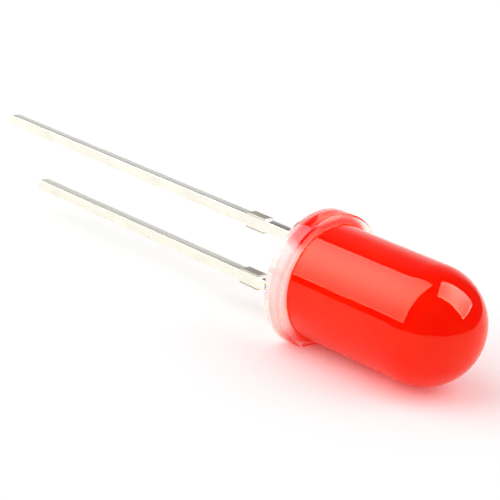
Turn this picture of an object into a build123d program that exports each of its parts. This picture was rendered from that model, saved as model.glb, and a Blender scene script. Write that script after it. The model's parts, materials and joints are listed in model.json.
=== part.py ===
"""Round 5 mm through hole LED lamp, lying on the flat of its flange.

The lamp's axis runs along X, dome towards +X, and the two leads lie one above the other.
Sizes are in millimetres. The origin is on the floor, at the middle of the lamp's outline.
"""

from build123d import *
from math import radians, sqrt, tan
import os

os.makedirs("parts", exist_ok=True)

# Lens: a round barrel with a half-ball dome, cast in one with its flange
lens_diameter = 5.0
lamp_height = 8.65  # flange back face to dome tip
flange_thickness = 0.95
flange_overhang = 0.45  # how far the flange stands out from the barrel all round
flat_stand_off = 0.1  # the cathode flat stands this far out from the barrel
flange_edge_radius = 0.08
foot_fillet = 0.05  # where the barrel meets the flange

# Lead frame: stamped from one strip
strip_thickness = 0.5
lead_width = 0.45
lead_pitch = 2.54
anode_lead_length = 20.8  # flange back face to lead tip
cathode_lead_length = 18.3
lead_tip_chamfer = 0.08
stub_start = 3.0  # flange back face to the near end of the cut tie bar
stub_length = 1.2
stub_height = 0.1  # how far the cut tie bar stands out on each side of the lead
stub_slope = 0.12  # run of the tie bar's sloped far end

# Cathode anvil with its coined reflector cup, and the anode's bonding post
shank_length = 1.6  # flange back face to where the shanks widen
cup_rim_height = 5.25  # flange back face to the cup's rim
cup_depth = 0.35
cup_floor_diameter = 0.62
cup_wall_angle = 30  # degrees from the lamp's axis
cup_lip = 0.08  # flat rim round the cup
cup_head_height = 0.6  # the flared head, with its rim band
cup_rim_band = 0.15  # straight outer wall of the head below its rim
anvil_shoulder = 1.3  # length of the anvil's sloped side under the cup head
anvil_flare = 1.1  # length of the slope from the shank out to the anvil
anvil_reach = 0.25  # the anvil's near end reaches this far past the lamp's axis
anvil_corner_radius = 0.12
frame_gap = 0.35  # between the cup head and the anode post
post_rise = 0.1  # the post's top stands this far past the cup's rim
post_head_length = 2.0
post_overhang = 0.1  # the post's head stands out this far past the shank
post_slope = 0.15  # run of the slopes from the shank out to the post's head
post_corner_radius = 0.06

# Chip, adhesive and bond wire
chip_side = 0.3
chip_height = 0.22
chip_bevel = 0.02
adhesive_thickness = 0.03
adhesive_edge_gap = 0.04  # from the dab to the edge of the cup's floor
wire_diameter = 0.03
wire_rise = 0.35  # straight rise of the wire from its ball before it bends over
wire_bend_radius = 0.12
ball_diameter = 0.1
ball_height = 0.04
stitch_diameter = 0.1
stitch_height = 0.02

lens_radius = lens_diameter / 2
flange_radius = lens_radius + flange_overhang
axis_height = lens_radius + flat_stand_off
dome_start = lamp_height - lens_radius
lead_offset = lead_pitch / 2
cup_floor_height = cup_rim_height - cup_depth
cup_mouth_radius = cup_floor_diameter / 2 + cup_depth * tan(radians(cup_wall_angle))
cup_head_radius = cup_mouth_radius + cup_lip
cup_head_start = cup_rim_height - cup_head_height
cup_band_start = cup_rim_height - cup_rim_band
anvil_top_half = sqrt(cup_head_radius**2 - (strip_thickness / 2) ** 2)  # within the round rim
post_top = cup_rim_height + post_rise
head_start = post_top - post_head_length
shank_inner = lead_offset - lead_width / 2
shank_outer = lead_offset + lead_width / 2
head_inner = cup_head_radius + frame_gap
head_outer = shank_outer + post_overhang
stitch_offset = (head_inner + head_outer) / 2
chip_base = cup_floor_height + adhesive_thickness
chip_top = chip_base + chip_height

# The lamp's own plane: x along its axis from the flange's back face, y up from cathode to anode
seat_position = (anode_lead_length - lamp_height) / 2
lamp = Plane(origin=(seat_position, 0, axis_height), x_dir=(1, 0, 0), z_dir=(0, -1, 0))
lamp_axis = Axis(lamp.origin, lamp.x_dir)


def across(distance):
    """Plane square to the lamp's axis, at a distance from the flange's back face."""
    return Plane(
        origin=lamp.from_local_coords((distance, 0, 0)), x_dir=(0, 1, 0), z_dir=(1, 0, 0)
    )


def lead_outline(side, length):
    """Closed outline of one lead outside the lens, with the stubs of its cut tie bar."""
    half = lead_width / 2
    stub_half = half + stub_height
    stub_end = stub_start + stub_length
    edge = [
        (0, half),
        (-stub_start, half),
        (-stub_start, stub_half),
        (-stub_end + stub_slope, stub_half),
        (-stub_end, half),
        (-length + lead_tip_chamfer, half),
        (-length, half - lead_tip_chamfer),
    ]
    upper = [(x, side * lead_offset + y) for x, y in edge]
    lower = [(x, side * lead_offset - y) for x, y in reversed(edge)]
    Polyline(*upper, *lower, close=True)


with BuildPart() as anode_lead:
    with BuildSketch(lamp):
        with BuildLine():
            lead_outline(1, anode_lead_length)
        make_face()
    extrude(amount=strip_thickness / 2, both=True)
    # The post inside the lens: its head reaches in towards the cup
    with BuildSketch(lamp) as post:
        with BuildLine():
            Polyline(
                (0, shank_inner),
                (head_start - post_slope, shank_inner),
                (head_start, head_inner),
                (post_top, head_inner),
                (post_top, head_outer),
                (head_start, head_outer),
                (head_start - post_slope, shank_outer),
                (0, shank_outer),
                close=True,
            )
        make_face()
        post_corners = post.vertices().filter_by_position(
            Axis.X, head_start - post_slope, head_start
        )
        fillet(post_corners, post_corner_radius)
    extrude(amount=strip_thickness / 2, both=True)

with BuildPart() as cathode_lead:
    with BuildSketch(lamp):
        with BuildLine():
            lead_outline(-1, cathode_lead_length)
        make_face()
    extrude(amount=strip_thickness / 2, both=True)
    # The anvil inside the lens widens from the shank until it carries the cup head
    with BuildSketch(lamp) as anvil:
        with BuildLine():
            Polyline(
                (0, -shank_outer),
                (cup_head_start - anvil_shoulder, -shank_outer),
                (cup_head_start, -anvil_top_half),
                (cup_band_start, -anvil_top_half),
                (cup_band_start, anvil_top_half),
                (cup_head_start, anvil_top_half),
                (shank_length + anvil_flare, anvil_reach),
                (shank_length, -shank_inner),
                (0, -shank_inner),
                close=True,
            )
        make_face()
        anvil_corners = anvil.vertices().filter_by_position(
            Axis.X, shank_length, cup_head_start, (True, False)
        )
        fillet(anvil_corners, anvil_corner_radius)
    extrude(amount=strip_thickness / 2, both=True)
    # The head is upset from the strip: it flares from the strip's thickness to a round rim
    with BuildSketch(lamp):
        with BuildLine():
            Polyline(
                (cup_head_start, 0),
                (cup_head_start, strip_thickness / 2),
                (cup_band_start, cup_head_radius),
                (cup_rim_height, cup_head_radius),
                (cup_rim_height, 0),
                close=True,
            )
        make_face()
    revolve(axis=lamp_axis)
    # The coined cup, open towards the dome
    with BuildSketch(lamp):
        with BuildLine():
            Polyline(
                (cup_floor_height, 0),
                (cup_floor_height, cup_floor_diameter / 2),
                (cup_rim_height, cup_mouth_radius),
                (cup_rim_height, 0),
                close=True,
            )
        make_face()
    revolve(axis=lamp_axis, mode=Mode.SUBTRACT)

with BuildPart() as die_attach:
    with BuildSketch(across(cup_floor_height)):
        Circle(cup_floor_diameter / 2 - adhesive_edge_gap)
    extrude(amount=adhesive_thickness)
    fillet(die_attach.edges().sort_by(Axis.X)[-1], adhesive_thickness / 2)

with BuildPart() as led_chip:
    with BuildSketch(across(chip_base)):
        Rectangle(chip_side, chip_side)
    extrude(amount=chip_height)
    chamfer(led_chip.faces().sort_by(Axis.X)[-1].edges(), chip_bevel)

with BuildPart() as bond_wire:
    with BuildSketch(across(chip_top)):
        Circle(ball_diameter / 2)
    extrude(amount=ball_height)
    with BuildSketch(across(post_top)):
        with Locations((0, stitch_offset)):
            Circle(stitch_diameter / 2)
    extrude(amount=stitch_height)
    with BuildLine(lamp):
        wire_path = FilletPolyline(
            (chip_top + ball_height / 2, 0),
            (chip_top + ball_height + wire_rise, 0),
            (post_top + stitch_height, stitch_offset),
            radius=wire_bend_radius,
        )
    with BuildSketch(across(chip_top + ball_height / 2)):
        Circle(wire_diameter / 2)
    sweep(path=wire_path)

with BuildPart() as epoxy_body:
    with BuildSketch(lamp):
        with BuildLine():
            Polyline(
                (lamp_height, 0),
                (0, 0),
                (0, flange_radius),
                (flange_thickness, flange_radius),
                (flange_thickness, lens_radius),
                (dome_start, lens_radius),
            )
            CenterArc((dome_start, 0), lens_radius, 0, 90)
        make_face()
    revolve(axis=lamp_axis)
    rings = epoxy_body.edges().filter_by(GeomType.CIRCLE)
    flange_rims = rings.filter_by(lambda ring: ring.radius > lens_radius + foot_fillet)
    fillet(flange_rims, flange_edge_radius)
    rings = epoxy_body.edges().filter_by(GeomType.CIRCLE).sort_by(Axis.X)
    foot = rings.filter_by(lambda ring: abs(ring.radius - lens_radius) < foot_fillet)[0]
    fillet(foot, foot_fillet)
    # The cathode flat, which is what the lamp lies on
    split(bisect_by=Plane.XY, keep=Keep.TOP)
    for cast_in in (anode_lead, cathode_lead, die_attach, led_chip, bond_wire):
        add(cast_in.part, mode=Mode.SUBTRACT)

anode_lead.part.label = "anode_lead"
cathode_lead.part.label = "cathode_lead"
die_attach.part.label = "die_attach"
led_chip.part.label = "led_chip"
bond_wire.part.label = "bond_wire"
epoxy_body.part.label = "epoxy_body"

export_step(anode_lead.part, "parts/anode_lead.step")
export_step(cathode_lead.part, "parts/cathode_lead.step")
export_step(die_attach.part, "parts/die_attach.step")
export_step(led_chip.part, "parts/led_chip.step")
export_step(bond_wire.part, "parts/bond_wire.step")
export_step(epoxy_body.part, "parts/epoxy_body.step")
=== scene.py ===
import json
import math

import bmesh
import bpy
from mathutils import Matrix, Vector


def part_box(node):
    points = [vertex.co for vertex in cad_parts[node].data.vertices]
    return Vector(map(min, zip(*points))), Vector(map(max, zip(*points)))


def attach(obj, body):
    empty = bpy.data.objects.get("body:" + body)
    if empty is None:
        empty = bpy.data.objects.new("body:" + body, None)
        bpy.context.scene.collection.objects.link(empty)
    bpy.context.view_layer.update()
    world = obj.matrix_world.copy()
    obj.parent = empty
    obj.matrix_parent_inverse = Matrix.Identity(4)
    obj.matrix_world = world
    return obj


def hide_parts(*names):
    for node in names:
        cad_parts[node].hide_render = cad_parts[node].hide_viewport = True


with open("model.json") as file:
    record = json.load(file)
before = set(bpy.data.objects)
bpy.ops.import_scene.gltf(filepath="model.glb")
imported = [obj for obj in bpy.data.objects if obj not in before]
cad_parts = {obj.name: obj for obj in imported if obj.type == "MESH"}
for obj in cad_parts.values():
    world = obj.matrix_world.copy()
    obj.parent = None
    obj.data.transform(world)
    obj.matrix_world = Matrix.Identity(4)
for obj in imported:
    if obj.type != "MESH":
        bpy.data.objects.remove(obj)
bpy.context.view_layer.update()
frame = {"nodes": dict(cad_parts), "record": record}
mm = 0.001
print("frame loaded:", ", ".join(sorted(frame["nodes"])))

# the lamp's own measures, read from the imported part
mounts = {m["name"]: m for m in frame["record"]["mounts"]}
bodyLow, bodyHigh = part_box("epoxy_body")
footFillet = 0.05 * mm  # where the barrel meets the flange
barrelMiddle = mounts["lens_barrel"]["pos_m"][0]
barrelHalf = mounts["lens_barrel"]["dims"]["length_mm"] * mm / 2
lamp = {
    "backX": mounts["seat"]["pos_m"][0],  # flange back face
    "frontX": barrelMiddle - barrelHalf - footFillet,  # flange front face
    "domeX": barrelMiddle + barrelHalf,
    "tipX": bodyHigh.x,
    "axisZ": mounts["lens_barrel"]["pos_m"][2],
    "lensRadius": mounts["lens_barrel"]["dims"]["r_mm"] * mm,
    "flangeRadius": (bodyHigh.y - bodyLow.y) / 2,
    "anodeZ": mounts["anode_pin"]["pos_m"][2],
    "cathodeZ": mounts["cathode_pin"]["pos_m"][2],
}


# node helpers

def newMaterial(name):
    mat = bpy.data.materials.new(name)
    mat.use_nodes = True
    mat.node_tree.nodes.clear()
    return mat, mat.node_tree


def addNode(tree, kind, place=(0, 0), **values):
    node = tree.nodes.new(kind)
    node.location = place
    for key, value in values.items():
        setattr(node, key, value)
    return node


def setInputs(node, values):
    for key, value in values.items():
        node.inputs[key].default_value = value


def feed(tree, source, target):
    # a number, a colour or another node's socket goes into the target socket
    if isinstance(source, bpy.types.NodeSocket):
        tree.links.new(source, target)
    else:
        target.default_value = source


def math2(tree, operation, first, second=0.0):
    node = addNode(tree, "ShaderNodeMath", operation=operation)
    feed(tree, first, node.inputs[0])
    feed(tree, second, node.inputs[1])
    return node.outputs[0]


def awayFrom(tree, value, middle):
    return math2(tree, "ABSOLUTE", math2(tree, "SUBTRACT", value, middle))


def smooth(tree, value, paintedGlowShare, high, atLow=0.0, atHigh=1.0):
    node = addNode(tree, "ShaderNodeMapRange", interpolation_type="SMOOTHSTEP")
    for index, source in enumerate((value, paintedGlowShare, high, atLow, atHigh)):
        feed(tree, source, node.inputs[index])
    return node.outputs[0]


def mixColour(tree, share, first, second):
    node = addNode(tree, "ShaderNodeMix", data_type="RGBA")
    feed(tree, share, node.inputs[0])
    feed(tree, first, node.inputs[6])
    feed(tree, second, node.inputs[7])
    return node.outputs[2]


def mixValue(tree, share, first, second):
    node = addNode(tree, "ShaderNodeMix", data_type="FLOAT")
    feed(tree, share, node.inputs[0])
    feed(tree, first, node.inputs[2])
    feed(tree, second, node.inputs[3])
    return node.outputs[0]


def bump(tree, height, distance, normal=None):
    node = addNode(tree, "ShaderNodeBump", (300, -300))
    node.inputs["Distance"].default_value = distance
    tree.links.new(height, node.inputs["Height"])
    if normal is not None:
        tree.links.new(normal, node.inputs["Normal"])
    return node.outputs["Normal"]


def principled(tree, values):
    shader = addNode(tree, "ShaderNodeBsdfPrincipled", (600, 0))
    setInputs(shader, values)
    out = addNode(tree, "ShaderNodeOutputMaterial", (1100, 0))
    tree.links.new(shader.outputs[0], out.inputs["Surface"])
    return shader


def letLightThrough(tree, shader, colour):
    # the lights shine through the resin, so its shadow on the table is tinted and not grey
    out = next(n for n in tree.nodes if n.type == "OUTPUT_MATERIAL")
    path = addNode(tree, "ShaderNodeLightPath", (600, 400))
    veil = addNode(tree, "ShaderNodeBsdfTransparent", (600, -500))
    veil.inputs["Color"].default_value = colour
    mixed = addNode(tree, "ShaderNodeMixShader", (900, 0))
    tree.links.new(path.outputs["Is Shadow Ray"], mixed.inputs[0])
    tree.links.new(shader.outputs[0], mixed.inputs[1])
    tree.links.new(veil.outputs[0], mixed.inputs[2])
    tree.links.new(mixed.outputs[0], out.inputs["Surface"])


def raysThatSee(tree, path):
    # what the camera sees, also through the clear resin
    camera, transmission = path.outputs["Is Camera Ray"], path.outputs["Is Transmission Ray"]
    return math2(tree, "MAXIMUM", camera, transmission)


def newGroup(name, inputs, outputs):
    tree = bpy.data.node_groups.new(name, "ShaderNodeTree")
    for label, (kind, value) in inputs.items():
        socket = tree.interface.new_socket(label, in_out="INPUT", socket_type=kind)
        socket.default_value = value
    for label, kind in outputs.items():
        tree.interface.new_socket(label, in_out="OUTPUT", socket_type=kind)
    given = addNode(tree, "NodeGroupInput", (-900, 0))
    put = addNode(tree, "NodeGroupOutput", (900, 0))
    return tree, given, put


def useGroup(tree, group, **values):
    node = addNode(tree, "ShaderNodeGroup", (-600, 0), node_tree=group)
    setInputs(node, values)
    return node.outputs


# shader groups that several finishes share

def placeOnLamp():
    # in mm: how far a point lies behind the flange's front face, how far out from the axis
    # and how high over it
    tree, _, put = newGroup("place on lamp", {}, {
        "Behind": "NodeSocketFloat", "Radius": "NodeSocketFloat", "Height": "NodeSocketFloat",
    })
    spot = addNode(tree, "ShaderNodeTexCoord")
    parts = addNode(tree, "ShaderNodeSeparateXYZ")
    tree.links.new(spot.outputs["Object"], parts.inputs[0])
    x, side, z = (math2(tree, "DIVIDE", parts.outputs[axis], mm) for axis in range(3))
    behind = math2(tree, "SUBTRACT", lamp["frontX"] / mm, x)
    height = math2(tree, "SUBTRACT", z, lamp["axisZ"] / mm)
    sideSquared = math2(tree, "MULTIPLY", side, side)
    square = math2(tree, "ADD", sideSquared, math2(tree, "MULTIPLY", height, height))
    tree.links.new(behind, put.inputs["Behind"])
    tree.links.new(math2(tree, "SQRT", square), put.inputs["Radius"])
    tree.links.new(height, put.inputs["Height"])
    return tree


def cloudyPattern():
    # soft mottling, or streaks where it is stretched
    tree, given, put = newGroup("cloudy pattern", {
        "Per mm": ("NodeSocketFloat", 1.0),
        "Stretch": ("NodeSocketVector", (1, 1, 1)),
        "Low": ("NodeSocketFloat", 0.35),
        "High": ("NodeSocketFloat", 0.65),
    }, {"Mask": "NodeSocketFloat"})
    spot = addNode(tree, "ShaderNodeTexCoord")
    pull = addNode(tree, "ShaderNodeVectorMath", operation="DIVIDE")
    tree.links.new(spot.outputs["Object"], pull.inputs[0])
    tree.links.new(given.outputs["Stretch"], pull.inputs[1])
    noise = addNode(tree, "ShaderNodeTexNoise")
    noise.inputs["Detail"].default_value = 5
    tree.links.new(pull.outputs[0], noise.inputs["Vector"])
    perMetre = math2(tree, "DIVIDE", given.outputs["Per mm"], mm)
    tree.links.new(perMetre, noise.inputs["Scale"])
    mask = smooth(tree, noise.outputs[0], given.outputs["Low"], given.outputs["High"])
    tree.links.new(mask, put.inputs["Mask"])
    return tree


def scatteredSpecks():
    # dust and pits: small round dots in a share of the cells
    tree, given, put = newGroup("scattered specks", {
        "Per mm": ("NodeSocketFloat", 1.0),
        "Size": ("NodeSocketFloat", 0.05),  # of a cell's width
        "Share": ("NodeSocketFloat", 0.3),
    }, {"Mask": "NodeSocketFloat"})
    spot = addNode(tree, "ShaderNodeTexCoord")
    cells = addNode(tree, "ShaderNodeTexVoronoi")
    tree.links.new(spot.outputs["Object"], cells.inputs["Vector"])
    tree.links.new(math2(tree, "DIVIDE", given.outputs["Per mm"], mm), cells.inputs["Scale"])
    pick = addNode(tree, "ShaderNodeSeparateColor")
    tree.links.new(cells.outputs["Color"], pick.inputs[0])
    chosen = math2(tree, "LESS_THAN", pick.outputs[0], given.outputs["Share"])
    vary = math2(tree, "ADD", pick.outputs[1], 0.3)  # 0.3 to 1.3 times the size
    size = math2(tree, "MULTIPLY", given.outputs["Size"], vary)
    dot = smooth(tree, cells.outputs["Distance"], size, 0.0)
    tree.links.new(math2(tree, "MULTIPLY", dot, chosen), put.inputs["Mask"])
    return tree


def wornEdge():
    # a broken line along the edges, where a rounded normal turns away from the true one
    tree, given, put = newGroup("worn edge", {
        "Width": ("NodeSocketFloat", 0.02 * mm),
        "Break per mm": ("NodeSocketFloat", 4.0),
    }, {"Mask": "NodeSocketFloat"})
    rounded = addNode(tree, "ShaderNodeBevel", samples=6)
    tree.links.new(given.outputs["Width"], rounded.inputs["Radius"])
    true = addNode(tree, "ShaderNodeNewGeometry")
    along = addNode(tree, "ShaderNodeVectorMath", operation="DOT_PRODUCT")
    tree.links.new(rounded.outputs[0], along.inputs[0])
    tree.links.new(true.outputs["Normal"], along.inputs[1])
    edge = smooth(tree, along.outputs["Value"], 0.995, 0.86)  # cosines of the turn
    spot = addNode(tree, "ShaderNodeTexCoord")
    noise = addNode(tree, "ShaderNodeTexNoise")
    tree.links.new(spot.outputs["Object"], noise.inputs["Vector"])
    tree.links.new(math2(tree, "DIVIDE", given.outputs["Break per mm"], mm), noise.inputs["Scale"])
    broken = smooth(tree, noise.outputs[0], 0.35, 0.6)
    tree.links.new(math2(tree, "MULTIPLY", edge, broken), put.inputs["Mask"])
    return tree


groups = {
    "place": placeOnLamp(),
    "cloud": cloudyPattern(),
    "specks": scatteredSpecks(),
    "edge": wornEdge(),
}
print("shader groups built:", ", ".join(groups))


# mesh helpers

def meshObject(name, bm, smoothAngle=40):  # degrees between faces that shade as one
    data = bpy.data.meshes.new(name)
    bm.to_mesh(data)
    bm.free()
    obj = bpy.data.objects.new(name, data)
    bpy.context.scene.collection.objects.link(obj)
    data.shade_smooth()
    data.set_sharp_from_angle(angle=math.radians(smoothAngle))
    return obj


def lathe(profile, segments):
    # spins (x, radius) points round the lamp's axis, with a pole where the radius is nought
    bm = bmesh.new()
    rings = []
    for x, radius in profile:
        if radius < 1e-9:
            rings.append([bm.verts.new((x, 0, lamp["axisZ"]))])
            continue
        ring = []
        for k in range(segments):
            turn = 2 * math.pi * k / segments
            y, z = radius * math.cos(turn), lamp["axisZ"] + radius * math.sin(turn)
            ring.append(bm.verts.new((x, y, z)))
        rings.append(ring)
    for first, second in zip(rings, rings[1:]):
        for k in range(segments):
            after = (k + 1) % segments
            corners = [first[k % len(first)], first[after % len(first)]]
            corners += [second[after % len(second)], second[k % len(second)]]
            unique = list(dict.fromkeys(corners))
            if len(unique) > 2:
                bm.faces.new(unique)
    bmesh.ops.recalc_face_normals(bm, faces=bm.faces)
    return bm


def cutFlat(bm, height):
    # cuts away what is below a height, and closes the cut
    everything = bm.verts[:] + bm.edges[:] + bm.faces[:]
    cut = bmesh.ops.bisect_plane(
        bm, geom=everything, plane_co=(0, 0, height), plane_no=(0, 0, -1), clear_outer=True,
    )
    rim = [e for e in cut["geom_cut"] if isinstance(e, bmesh.types.BMEdge)]
    bmesh.ops.contextual_create(bm, geom=rim)
    bmesh.ops.recalc_face_normals(bm, faces=bm.faces)


def arcPoints(centreX, centreR, radius, startDegrees, endDegrees, count):
    points = []
    for k in range(count + 1):
        turn = math.radians(startDegrees + (endDegrees - startDegrees) * k / count)
        points.append((centreX + radius * math.cos(turn), centreR + radius * math.sin(turn)))
    return points


# red resin: dome, barrel and the skirt of pigment that thins out inside the flange
lensSettings = {
    "segments": 256,
    "domeSteps": 64,
    "barrelSteps": 24,
    "backRings": (0.0, 0.4, 0.8),  # on the core's back face, in lens radii
    "skirtStart": 0.17 * mm,  # the pigment ends this far inside the flange's back face
    "skirtInset": 0.13 * mm,  # and this far inside its rim
    "skirtRounding": 0.08 * mm,
    "skirtSteps": 16,
    "neck": 0.3 * mm,  # straight stretch behind the flange's front face
    "clearOfFloor": 0.03 * mm,
    "smoothAngle": 35,
    "red": (1.0, 0.0055, 0.0004, 1),
    "warmRed": (1.0, 0.012, 0.001, 1),
    "pink": (1.0, 0.36, 0.36, 1),
    "cream": (1.0, 0.985, 0.955, 1),
    # in mm behind the flange's front face
    "pinkFrom": 0.0, "pinkTo": 0.2,
    "creamFrom": 0.15, "creamTo": 0.55,
    # the red reaches further back at top and bottom, between these heights over the axis, in mm;
    # this is painted light: the core's refracted red at the top, the red glow off the table at the
    # bottom
    "topReach": 0.6, "topFrom": 1.45, "topTo": 2.15,
    "bottomReach": 0.45, "bottomFrom": -1.4, "bottomTo": -2.3,
    "creamRadius": 2.3,  # in mm; from there in to the axis the cream thins to a share
    "creamInside": 0.35,
    "dust": (0.45, 0.10, 0.06, 1), "dustShare": 0.6, "dustRoughness": 0.3,
    "glossiest": 0.012, "dullest": 0.035,  # roughness
    "waveHeight": 0.004 * mm, "skinHeight": 0.00008 * mm, "dustHeight": 0.004 * mm,
    "shadowColour": (0.9, 0.05, 0.035, 1),
}


def buildLens():
    s = lensSettings
    front, back, radius = lamp["frontX"], lamp["backX"], lamp["lensRadius"]
    start = back + s["skirtStart"]
    wide = lamp["flangeRadius"] - s["skirtInset"]
    turn = s["skirtRounding"]
    profile = [(start, radius * share) for share in s["backRings"]]
    profile += arcPoints(start + turn, wide - turn, turn, 180, 90, 8)
    skirtEnd = front - s["neck"]
    for k in range(1, s["skirtSteps"] + 1):
        share = k / s["skirtSteps"]
        x = start + turn + (skirtEnd - start - turn) * share
        profile.append((x, radius + (wide - radius) * (1 - math.sin(share * math.pi / 2))))
    profile.append((front, radius))
    profile += arcPoints(front + footFillet, radius + footFillet, footFillet, 182, 270, 6)
    straight = front + footFillet
    for k in range(1, s["barrelSteps"] + 1):
        profile.append((straight + (lamp["domeX"] - straight) * k / s["barrelSteps"], radius))
    profile += arcPoints(lamp["domeX"], 0, radius, 90, 0, s["domeSteps"])[1:-1]
    profile.append((lamp["tipX"], 0.0))
    bm = lathe(profile, s["segments"])
    cutFlat(bm, s["clearOfFloor"])
    return meshObject("red_lens", bm, s["smoothAngle"])


def redEpoxy():
    s = lensSettings
    mat, tree = newMaterial("red diffused epoxy")
    shader = principled(tree, {
        "IOR": 1.38,
        "Specular Tint": (1, 0.97, 0.6, 1),
        "Subsurface Weight": 0.95,
        "Subsurface Radius": (1.0, 0.08, 0.04),
        "Subsurface Scale": 2.2 * mm,
    })
    place = useGroup(tree, groups["place"])
    cloud = useGroup(tree, groups["cloud"], **{"Per mm": 0.45, "Low": 0.3, "High": 0.75})
    fine = useGroup(tree, groups["cloud"], **{"Per mm": 6.0, "Low": 0.3, "High": 0.7})
    specks = useGroup(tree, groups["specks"], **{"Per mm": 3.0, "Size": 0.2, "Share": 0.1})
    body = mixColour(tree, cloud["Mask"], s["red"], s["warmRed"])
    # the pigment thins towards the back of the flange; its longer reach at top and bottom is
    # painted red light
    paintedRedReach = math2(
        tree, "ADD",
        smooth(tree, place["Height"], s["topFrom"], s["topTo"], 0.0, s["topReach"]),
        smooth(tree, place["Height"], s["bottomFrom"], s["bottomTo"], 0.0, s["bottomReach"]),
    )
    depth = math2(tree, "SUBTRACT", place["Behind"], paintedRedReach)
    pink = smooth(tree, depth, s["pinkFrom"], s["pinkTo"])
    outer = smooth(tree, place["Radius"], 0.0, s["creamRadius"], s["creamInside"], 1.0)
    cream = math2(tree, "MULTIPLY", smooth(tree, depth, s["creamFrom"], s["creamTo"]), outer)
    colour = mixColour(tree, cream, mixColour(tree, pink, body, s["pink"]), s["cream"])
    dust = math2(tree, "MULTIPLY", specks["Mask"], s["dustShare"])
    tree.links.new(mixColour(tree, dust, colour, s["dust"]), shader.inputs["Base Color"])
    rough = mixValue(tree, fine["Mask"], s["glossiest"], s["dullest"])
    dull = math2(tree, "MULTIPLY", specks["Mask"], s["dustRoughness"])
    tree.links.new(math2(tree, "ADD", rough, dull), shader.inputs["Roughness"])
    waves = bump(tree, cloud["Mask"], s["waveHeight"])
    skin = bump(tree, fine["Mask"], s["skinHeight"], waves)
    tree.links.new(bump(tree, specks["Mask"], s["dustHeight"], skin), shader.inputs["Normal"])
    letLightThrough(tree, shader, s["shadowColour"])
    return mat


# clear resin: the flange's outer skin, dished at the back, climbing the leads a little
flangeSettings = {
    "segments": 256,
    "backEdge": 0.07 * mm,  # radius of the rounded edge
    "frontEdge": 0.11 * mm,
    "innerRing": 0.98,  # on the front face, hidden under the barrel, in lens radii
    "smoothAngle": 35,
    "dishDepth": 0.1 * mm,  # the resin's free back surface sinks this far
    "dishRise": 0.5 * mm,  # and climbs to the rim over this width
    "backRings": 90,
    "meniscusHeight": 0.26 * mm,
    "meniscusReach": 0.1 * mm,
    "leadHalfY": 0.25 * mm,
    "leadHalfZ": 0.225 * mm,
    "clear": (1, 0.985, 0.975, 1),
    "reddish": (1, 0.55, 0.5, 1),  # painted red glow near the table, where the lit body throws red light
    "reddishFrom": -1.9, "reddishTo": -2.5,  # in mm over the axis
    "frosting": 0.42,  # roughness of the front face
    "glossiest": 0.02, "dullest": 0.07,  # and of the rest
    "frostFrom": 0.9, "frostTo": 0.99,  # how squarely a point faces the dome's side
    "waveHeight": 0.003 * mm,
    "shadowColour": (0.98, 0.9, 0.88, 1),
}


def buildFlange():
    s = flangeSettings
    back, front = lamp["backX"], lamp["frontX"]
    outer, edge, frontEdge = lamp["flangeRadius"], s["backEdge"], s["frontEdge"]
    flatEnd = outer - edge - s["dishRise"]
    profile = []
    for k in range(s["backRings"]):
        radius = (outer - edge) * k / s["backRings"]
        share = max(0.0, radius - flatEnd) / s["dishRise"]
        profile.append((back + s["dishDepth"] * math.sqrt(1 - share * share), radius))
    profile += arcPoints(back + edge, outer - edge, edge, 180, 90, 8)
    profile += arcPoints(front - frontEdge, outer - frontEdge, frontEdge, 90, 0, 12)
    profile += [(front, lamp["lensRadius"] * s["innerRing"]), (front, 0.0)]
    bm = lathe(profile, s["segments"])
    for vert in bm.verts:
        if vert.co.x > back + edge:
            continue
        for leadZ in (lamp["anodeZ"], lamp["cathodeZ"]):
            awayY = max(0.0, abs(vert.co.y) - s["leadHalfY"])
            awayZ = max(0.0, abs(vert.co.z - leadZ) - s["leadHalfZ"])
            climb = math.exp(-math.hypot(awayY, awayZ) / s["meniscusReach"])
            vert.co.x -= s["meniscusHeight"] * climb
    cutFlat(bm, 0.0)
    flange = meshObject("clear_flange", bm, s["smoothAngle"])
    flange.visible_glossy = False  # so that the barrel mirrors the soft box right up to the flange
    return flange


def clearEpoxy():
    s = flangeSettings
    mat, tree = newMaterial("clear epoxy")
    shader = principled(tree, {"IOR": 1.45, "Transmission Weight": 1.0})
    cloud = useGroup(tree, groups["cloud"], **{"Per mm": 1.5, "Low": 0.3, "High": 0.7})
    fine = useGroup(tree, groups["cloud"], **{"Per mm": 9.0, "Low": 0.3, "High": 0.7})
    place = useGroup(tree, groups["place"])
    # the glass is tinted red near the table: a painted red glow
    paintedGlowShare = smooth(tree, place["Height"], s["reddishFrom"], s["reddishTo"])
    tinted = mixColour(tree, paintedGlowShare, s["clear"], s["reddish"])
    tree.links.new(tinted, shader.inputs["Base Color"])
    # the front face is finely frosted
    facing = addNode(tree, "ShaderNodeSeparateXYZ")
    spot = addNode(tree, "ShaderNodeTexCoord")
    tree.links.new(spot.outputs["Normal"], facing.inputs[0])
    front = smooth(tree, facing.outputs[0], s["frostFrom"], s["frostTo"])
    polished = mixValue(tree, fine["Mask"], s["glossiest"], s["dullest"])
    tree.links.new(mixValue(tree, front, polished, s["frosting"]), shader.inputs["Roughness"])
    tree.links.new(bump(tree, cloud["Mask"], s["waveHeight"]), shader.inputs["Normal"])
    letLightThrough(tree, shader, s["shadowColour"])
    return mat


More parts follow.
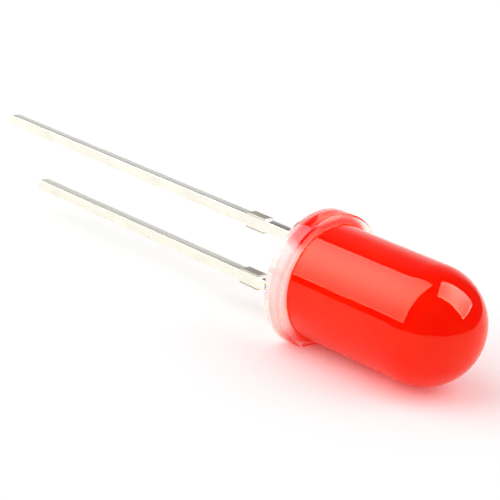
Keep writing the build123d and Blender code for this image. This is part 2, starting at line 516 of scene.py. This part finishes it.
# leads: the stampings with their edges softened
leadSettings = {
    "edgeSoftening": 0.035 * mm,
    "softSegments": 3,
    "sharpFrom": 25,  # degrees between faces
    "smoothAngle": 30,
    "tin": (0.98, 0.97, 0.95, 1),
    "dullTin": (0.90, 0.89, 0.86, 1),
    "cutTin": (0.92, 0.92, 0.82, 1),  # on the sides that the stamp cut
    "oliveTin": (0.60, 0.59, 0.49, 1),  # and there near the lens darker and olive: a painted reflection of the dark room
    "oliveFrom": 1.5, "oliveTo": 7.0,  # in mm behind the flange's back face
    "cutFrom": 0.6, "cutTo": 0.9,  # how squarely a point faces up or down
    "rubbed": (0.97, 0.95, 0.90, 1), "rubbedShare": 0.4,  # along the edges
    "pits": (0.35, 0.32, 0.28, 1), "pitShare": 0.5,
    "sheared": (0.34, 0.31, 0.26, 1),
    "shearedLight": (0.52, 0.49, 0.42, 1),
    "shearedFrom": 3.0, "shearedTo": 4.2,  # in mm behind the flange's back face
    "shearedOut": 0.24,  # in mm out from the middle of the lead
    "streakShare": 0.25,
    "glossiest": 0.2, "dullest": 0.32, "blotchRoughness": 0.08, "shearedRoughness": 0.5,
    "drawnHeight": 0.0008 * mm, "grainHeight": 0.0006 * mm, "lumpHeight": 0.004 * mm,
}


def buildLead(node, name):
    s = leadSettings
    bm = bmesh.new()
    bm.from_mesh(frame["nodes"][node].data)
    bmesh.ops.remove_doubles(bm, verts=bm.verts, dist=1e-7)
    bmesh.ops.dissolve_limit(bm, angle_limit=math.radians(1), verts=bm.verts, edges=bm.edges)
    limit = math.radians(s["sharpFrom"])
    sharp = [e for e in bm.edges if len(e.link_faces) == 2 and e.calc_face_angle() > limit]
    bmesh.ops.bevel(
        bm, geom=sharp, offset=s["edgeSoftening"], segments=s["softSegments"],
        profile=0.5, affect="EDGES", clamp_overlap=True,
    )
    bmesh.ops.recalc_face_normals(bm, faces=bm.faces)
    return meshObject(name, bm, s["smoothAngle"])


def tinnedLead():
    s = leadSettings
    mat, tree = newMaterial("tinned steel")
    shader = principled(tree, {"Metallic": 1.0})
    place = useGroup(tree, groups["place"])
    streaks = useGroup(tree, groups["cloud"], **{
        "Per mm": 9.0, "Stretch": (14, 1, 1), "Low": 0.3, "High": 0.7,
    })
    blotches = useGroup(tree, groups["cloud"], **{
        "Per mm": 1.6, "Stretch": (2, 1, 1), "Low": 0.42, "High": 0.66,
    })
    fine = useGroup(tree, groups["cloud"], **{"Per mm": 22.0, "Low": 0.3, "High": 0.7})
    specks = useGroup(tree, groups["specks"], **{"Per mm": 2.2, "Size": 0.09, "Share": 0.3})
    worn = useGroup(tree, groups["edge"], **{"Width": 0.03 * mm, "Break per mm": 5.0})
    facing = addNode(tree, "ShaderNodeSeparateXYZ")
    spot = addNode(tree, "ShaderNodeTexCoord")
    tree.links.new(spot.outputs["Normal"], facing.inputs[0])
    upDown = math2(tree, "ABSOLUTE", facing.outputs[2])
    cutSide = smooth(tree, upDown, s["cutFrom"], s["cutTo"])
    # the cut ends of the tie bar are bare, sheared steel
    fromBack = math2(tree, "SUBTRACT", place["Behind"], (lamp["frontX"] - lamp["backX"]) / mm)
    inStub = math2(
        tree, "MULTIPLY",
        smooth(tree, fromBack, s["shearedFrom"] - 0.03, s["shearedFrom"] + 0.03),
        smooth(tree, fromBack, s["shearedTo"] + 0.03, s["shearedTo"] - 0.12),
    )
    halfPitch = (lamp["anodeZ"] - lamp["cathodeZ"]) / 2 / mm
    fromAxis = math2(tree, "ABSOLUTE", place["Height"])
    offLead = awayFrom(tree, fromAxis, halfPitch)
    outside = smooth(tree, offLead, s["shearedOut"], s["shearedOut"] + 0.05)
    bare = math2(tree, "MULTIPLY", inStub, outside)
    tin = mixColour(tree, blotches["Mask"], s["tin"], s["dullTin"])
    streaky = math2(tree, "MULTIPLY", streaks["Mask"], s["streakShare"])
    tin = mixColour(tree, streaky, tin, s["dullTin"])
    # the cut sides keep their own tint; near the lens they are painted darker and olive, a painted
    # reflection
    paintedReflectionShare = smooth(tree, fromBack, s["oliveTo"], s["oliveFrom"])
    cut = mixColour(tree, paintedReflectionShare, s["cutTin"], s["oliveTin"])
    tin = mixColour(tree, cutSide, tin, cut)
    rubbed = math2(tree, "MULTIPLY", worn["Mask"], s["rubbedShare"])
    tin = mixColour(tree, rubbed, tin, s["rubbed"])
    pitted = math2(tree, "MULTIPLY", specks["Mask"], s["pitShare"])
    tin = mixColour(tree, pitted, tin, s["pits"])
    steel = mixColour(tree, fine["Mask"], s["sheared"], s["shearedLight"])
    tree.links.new(mixColour(tree, bare, tin, steel), shader.inputs["Base Color"])
    rough = mixValue(tree, streaks["Mask"], s["glossiest"], s["dullest"])
    blotchy = math2(tree, "MULTIPLY", blotches["Mask"], s["blotchRoughness"])
    rough = math2(tree, "ADD", rough, blotchy)
    tree.links.new(mixValue(tree, bare, rough, s["shearedRoughness"]), shader.inputs["Roughness"])
    drawn = bump(tree, streaks["Mask"], s["drawnHeight"])
    grainy = bump(tree, fine["Mask"], s["grainHeight"], drawn)
    lumps = bump(tree, blotches["Mask"], s["lumpHeight"], grainy)
    tree.links.new(lumps, shader.inputs["Normal"])
    return mat


# the small parts cast inside the lens keep their own meshes

chipSettings = {
    "dark": (0.42, 0.30, 0.12, 1),
    "light": (0.52, 0.40, 0.20, 1),
    "chipped": (0.75, 0.66, 0.45, 1),  # along the edges
    "glossiest": 0.2, "dullest": 0.5,
    "sawHeight": 0.001 * mm,
}


def chipMaterial():
    s = chipSettings
    mat, tree = newMaterial("sawn semiconductor")
    shader = principled(tree, {"IOR": 3.0})
    cloud = useGroup(tree, groups["cloud"], **{"Per mm": 14.0, "Low": 0.3, "High": 0.7})
    saw = useGroup(tree, groups["cloud"], **{
        "Per mm": 40.0, "Stretch": (1, 8, 8), "Low": 0.3, "High": 0.7,
    })
    worn = useGroup(tree, groups["edge"], **{"Width": 0.01 * mm, "Break per mm": 40.0})
    colour = mixColour(tree, cloud["Mask"], s["dark"], s["light"])
    chipped = mixColour(tree, worn["Mask"], colour, s["chipped"])
    tree.links.new(chipped, shader.inputs["Base Color"])
    rough = mixValue(tree, saw["Mask"], s["glossiest"], s["dullest"])
    tree.links.new(rough, shader.inputs["Roughness"])
    tree.links.new(bump(tree, saw["Mask"], s["sawHeight"]), shader.inputs["Normal"])
    return mat


adhesiveSettings = {
    "dark": (0.48, 0.48, 0.47, 1),
    "light": (0.76, 0.76, 0.74, 1),
    "flake": (0.9, 0.9, 0.88, 1),
    "glossiest": 0.3, "dullest": 0.6,
    "flakeHeight": 0.002 * mm,
}


def adhesiveMaterial():
    s = adhesiveSettings
    mat, tree = newMaterial("silver filled adhesive")
    shader = principled(tree, {"Metallic": 0.6})
    flakes = useGroup(tree, groups["cloud"], **{"Per mm": 45.0, "Low": 0.35, "High": 0.6})
    specks = useGroup(tree, groups["specks"], **{"Per mm": 30.0, "Size": 0.4, "Share": 0.5})
    grey = mixColour(tree, flakes["Mask"], s["dark"], s["light"])
    flaked = mixColour(tree, specks["Mask"], grey, s["flake"])
    tree.links.new(flaked, shader.inputs["Base Color"])
    rough = mixValue(tree, flakes["Mask"], s["dullest"], s["glossiest"])
    tree.links.new(rough, shader.inputs["Roughness"])
    tree.links.new(bump(tree, flakes["Mask"], s["flakeHeight"]), shader.inputs["Normal"])
    return mat


wireSettings = {
    "light": (0.95, 0.70, 0.32, 1),
    "dark": (0.88, 0.62, 0.26, 1),
    "glossiest": 0.14, "dullest": 0.3,
    "drawnHeight": 0.0004 * mm,
}


def goldWireMaterial():
    s = wireSettings
    mat, tree = newMaterial("drawn gold")
    shader = principled(tree, {"Metallic": 1.0})
    streaks = useGroup(tree, groups["cloud"], **{
        "Per mm": 60.0, "Stretch": (1, 1, 6), "Low": 0.3, "High": 0.7,
    })
    gold = mixColour(tree, streaks["Mask"], s["light"], s["dark"])
    tree.links.new(gold, shader.inputs["Base Color"])
    rough = mixValue(tree, streaks["Mask"], s["glossiest"], s["dullest"])
    tree.links.new(rough, shader.inputs["Roughness"])
    tree.links.new(bump(tree, streaks["Mask"], s["drawnHeight"]), shader.inputs["Normal"])
    return mat


def placePiece(piece, node, mat):
    piece.data.materials.append(mat)
    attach(piece, "root")
    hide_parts(node)


tin = tinnedLead()
placePiece(buildLens(), "epoxy_body", redEpoxy())
placePiece(buildFlange(), "epoxy_body", clearEpoxy())
placePiece(buildLead("anode_lead", "anode_lead_tinned"), "anode_lead", tin)
placePiece(buildLead("cathode_lead", "cathode_lead_tinned"), "cathode_lead", tin)
innerFinishes = {
    "led_chip": chipMaterial(),
    "die_attach": adhesiveMaterial(),
    "bond_wire": goldWireMaterial(),
}
for node, mat in innerFinishes.items():
    inner = frame["nodes"][node].data
    inner.materials.clear()
    inner.materials.append(mat)
print("lens, flange, leads and inner parts finished")

# white table
floorSettings = {
    "halfSize": 0.6,
    "below": 0.01 * mm,
    "colour": (0.93, 0.93, 0.93, 1),
    "shownColour": (0.98, 0.98, 0.98, 1),  # as the camera sees it
    "mirroredColour": (0.98, 0.95, 0.85, 1),  # as the lens and the leads mirror it
}


def buildFloor():
    s = floorSettings
    bm = bmesh.new()
    bmesh.ops.create_grid(bm, x_segments=2, y_segments=2, size=s["halfSize"])
    obj = meshObject("floor", bm)
    obj.location.z = -s["below"]
    mat, tree = newMaterial("white paper")
    path = addNode(tree, "ShaderNodeLightPath")
    seen = raysThatSee(tree, path)
    base = addNode(tree, "ShaderNodeBsdfDiffuse")
    colour = mixColour(tree, path.outputs["Is Glossy Ray"], s["colour"], s["mirroredColour"])
    tree.links.new(mixColour(tree, seen, colour, s["shownColour"]), base.inputs["Color"])
    out = addNode(tree, "ShaderNodeOutputMaterial")
    tree.links.new(base.outputs[0], out.inputs["Surface"])
    obj.data.materials.append(mat)


# light: two soft boxes where the lens mirrors them, and a pale room
boxDistance = 250 * mm
panels = {
    "long_panel": {  # runs along the lamp, on the camera's side of straight up
        "facing": (0, -0.565, 0.825), "along": (1, 0, 0),
        "alongFrom": -1.6 * boxDistance, "alongTo": 0.052 * boxDistance,
        "acrossFrom": -0.942 * boxDistance, "acrossTo": 0.87 * boxDistance,
        "light": 1.25, "tint": (0.96, 0.96, 1),
        "hotAxis": 1, "hotMiddle": 0.57, "hotHalf": 0.52,
        "hotShine": 5.9, "edgeShine": 2.7, "border": 2.5, "borderWidth": 0.022,
    },
    "far_panel": {  # beyond the dome
        "facing": (0.667, 0.378, 0.640), "along": (0.457, 0.471, -0.754),
        "alongFrom": -0.635 * boxDistance, "alongTo": 0.385 * boxDistance,
        "acrossFrom": -0.135 * boxDistance, "acrossTo": 0.59 * boxDistance,
        "light": 1.3, "tint": (0.92, 0.92, 1),
        "hotAxis": 0, "hotMiddle": 0.48, "hotHalf": 0.5,
        "hotShine": 9.5, "edgeShine": 3.8, "border": 7.0, "borderWidth": 0.05,
    },
}
room = {
    "seen": 1.0,  # white behind the lamp
    "fillLow": 1.35, "fillHigh": 0.4,  # light at the horizon and from straight up
    "shine": 0.06,  # what the lens and the leads mirror above the table
    "sweepTowards": (-0.707, 0.707, 0),  # a white sweep stands behind the lamp
    "sweepEdge": 0.78, "sweepFull": 0.95,  # cosines away from that direction
    # its brightness by the sine of its height
    "sweepSteps": (
        (0.0, 1.0), (0.2, 0.95), (0.34, 0.62), (0.5, 0.3), (0.7, 0.2), (0.87, 0.1), (1.0, 0.06),
    ),
}


def buildPanel(name, s):
    facing = Vector(s["facing"]).normalized()
    along = Vector(s["along"])
    along = (along - facing * along.dot(facing)).normalized()
    across = facing.cross(along)
    middle = facing * boxDistance + along * (s["alongFrom"] + s["alongTo"]) / 2
    middle += across * (s["acrossFrom"] + s["acrossTo"]) / 2 + Vector((0, 0, lamp["axisZ"]))
    wide, tall = s["alongTo"] - s["alongFrom"], s["acrossTo"] - s["acrossFrom"]
    turn = Matrix((along, across, facing)).transposed().to_4x4()
    data = bpy.data.lights.new(name, "AREA")
    data.shape = "RECTANGLE"
    data.size, data.size_y = wide, tall
    data.energy = s["light"] * wide * tall * math.pi
    light = bpy.data.objects.new(name, data)
    bpy.context.scene.collection.objects.link(light)
    light.matrix_world = Matrix.Translation(middle) @ turn
    light.visible_glossy = light.visible_transmission = False
    # the cloth that the lens mirrors: bright in its middle, with a thin bright border
    bm = bmesh.new()
    bmesh.ops.create_grid(bm, x_segments=1, y_segments=1, size=0.5)
    bmesh.ops.scale(bm, vec=(wide, tall, 1), verts=bm.verts)
    face = meshObject(name + "_face", bm)
    face.matrix_world = Matrix.Translation(middle) @ turn
    mat, tree = newMaterial(name + " cloth")
    spot = addNode(tree, "ShaderNodeTexCoord")
    parts = addNode(tree, "ShaderNodeSeparateXYZ")
    tree.links.new(spot.outputs["Generated"], parts.inputs[0])
    fromHot = awayFrom(tree, parts.outputs[s["hotAxis"]], s["hotMiddle"])
    shine = smooth(tree, fromHot, 0.0, s["hotHalf"], s["hotShine"], s["edgeShine"])
    borders = []
    for axis, size in ((0, wide), (1, tall)):
        inside = 0.5 - s["borderWidth"] * tall / size
        fromMiddle = awayFrom(tree, parts.outputs[axis], 0.5)
        borders.append(math2(tree, "GREATER_THAN", fromMiddle, inside))
    border = math2(tree, "MULTIPLY", math2(tree, "MAXIMUM", *borders), s["border"])
    glow = addNode(tree, "ShaderNodeEmission")
    glow.inputs["Color"].default_value = (*s["tint"], 1)
    tree.links.new(math2(tree, "ADD", shine, border), glow.inputs["Strength"])
    out = addNode(tree, "ShaderNodeOutputMaterial")
    tree.links.new(glow.outputs[0], out.inputs["Surface"])
    face.data.materials.append(mat)
    face.visible_camera = face.visible_diffuse = False
    face.visible_shadow = face.visible_transmission = False


def buildRoom():
    s = room
    world = bpy.data.worlds.new("room")
    bpy.context.scene.world = world
    world.use_nodes = True
    tree = world.node_tree
    tree.nodes.clear()
    spot = addNode(tree, "ShaderNodeTexCoord")
    parts = addNode(tree, "ShaderNodeSeparateXYZ")
    tree.links.new(spot.outputs["Generated"], parts.inputs[0])
    flat = addNode(tree, "ShaderNodeVectorMath", operation="MULTIPLY")
    flat.inputs[1].default_value = (1, 1, 0)
    tree.links.new(spot.outputs["Generated"], flat.inputs[0])
    unit = addNode(tree, "ShaderNodeVectorMath", operation="NORMALIZE")
    tree.links.new(flat.outputs[0], unit.inputs[0])
    towards = addNode(tree, "ShaderNodeVectorMath", operation="DOT_PRODUCT")
    towards.inputs[1].default_value = s["sweepTowards"]
    tree.links.new(unit.outputs[0], towards.inputs[0])
    sideways = smooth(tree, towards.outputs["Value"], s["sweepEdge"], s["sweepFull"])
    upwards = addNode(tree, "ShaderNodeValToRGB")
    ramp = upwards.color_ramp
    while len(ramp.elements) < len(s["sweepSteps"]):
        ramp.elements.new(0.5)
    for stop, (position, value) in zip(ramp.elements, s["sweepSteps"]):
        stop.position = position
        stop.color = (value, value, value, 1)
    tree.links.new(parts.outputs[2], upwards.inputs[0])
    mirrored = mixValue(tree, sideways, s["shine"], upwards.outputs[0])
    path = addNode(tree, "ShaderNodeLightPath")
    level = math2(tree, "ABSOLUTE", parts.outputs[2])
    fill = mixValue(tree, level, s["fillLow"], s["fillHigh"])
    unseen = mixValue(tree, path.outputs["Is Glossy Ray"], fill, mirrored)
    back = addNode(tree, "ShaderNodeBackground")
    seen = raysThatSee(tree, path)
    tree.links.new(mixValue(tree, seen, unseen, s["seen"]), back.inputs["Strength"])
    out = addNode(tree, "ShaderNodeOutputWorld")
    tree.links.new(back.outputs[0], out.inputs["Surface"])


buildFloor()
for name, settings in panels.items():
    buildPanel(name, settings)
buildRoom()
print("floor and lights ready")

# camera
cameraSettings = {
    "lens": 144,
    "sensor": 36,
    "distance": 87.05 * mm,
    "azimuth": 44.85,
    "elevation": 18.71,
    "roll": -5.93,
    "aim": (1.16 * mm, 0.99 * mm, 2.02 * mm),
}


def buildCamera():
    s = cameraSettings
    data = bpy.data.cameras.new("camera")
    data.lens, data.sensor_width = s["lens"], s["sensor"]
    data.sensor_fit = "HORIZONTAL"
    data.clip_start, data.clip_end = 1 * mm, 10
    data.dof.use_dof = False
    obj = bpy.data.objects.new("camera", data)
    bpy.context.scene.collection.objects.link(obj)
    az, el = math.radians(s["azimuth"]), math.radians(s["elevation"])
    back = Vector((math.sin(az) * math.cos(el), -math.cos(az) * math.cos(el), math.sin(el)))
    right = Vector((math.cos(az), math.sin(az), 0))
    level = Matrix((right, back.cross(right), back)).transposed().to_4x4()
    roll = Matrix.Rotation(-math.radians(s["roll"]), 4, "Z")
    obj.matrix_world = Matrix.Translation(Vector(s["aim"]) + back * s["distance"]) @ level @ roll
    bpy.context.scene.camera = obj


buildCamera()
bpy.context.scene.view_settings.view_transform = "Standard"
print("camera ready")
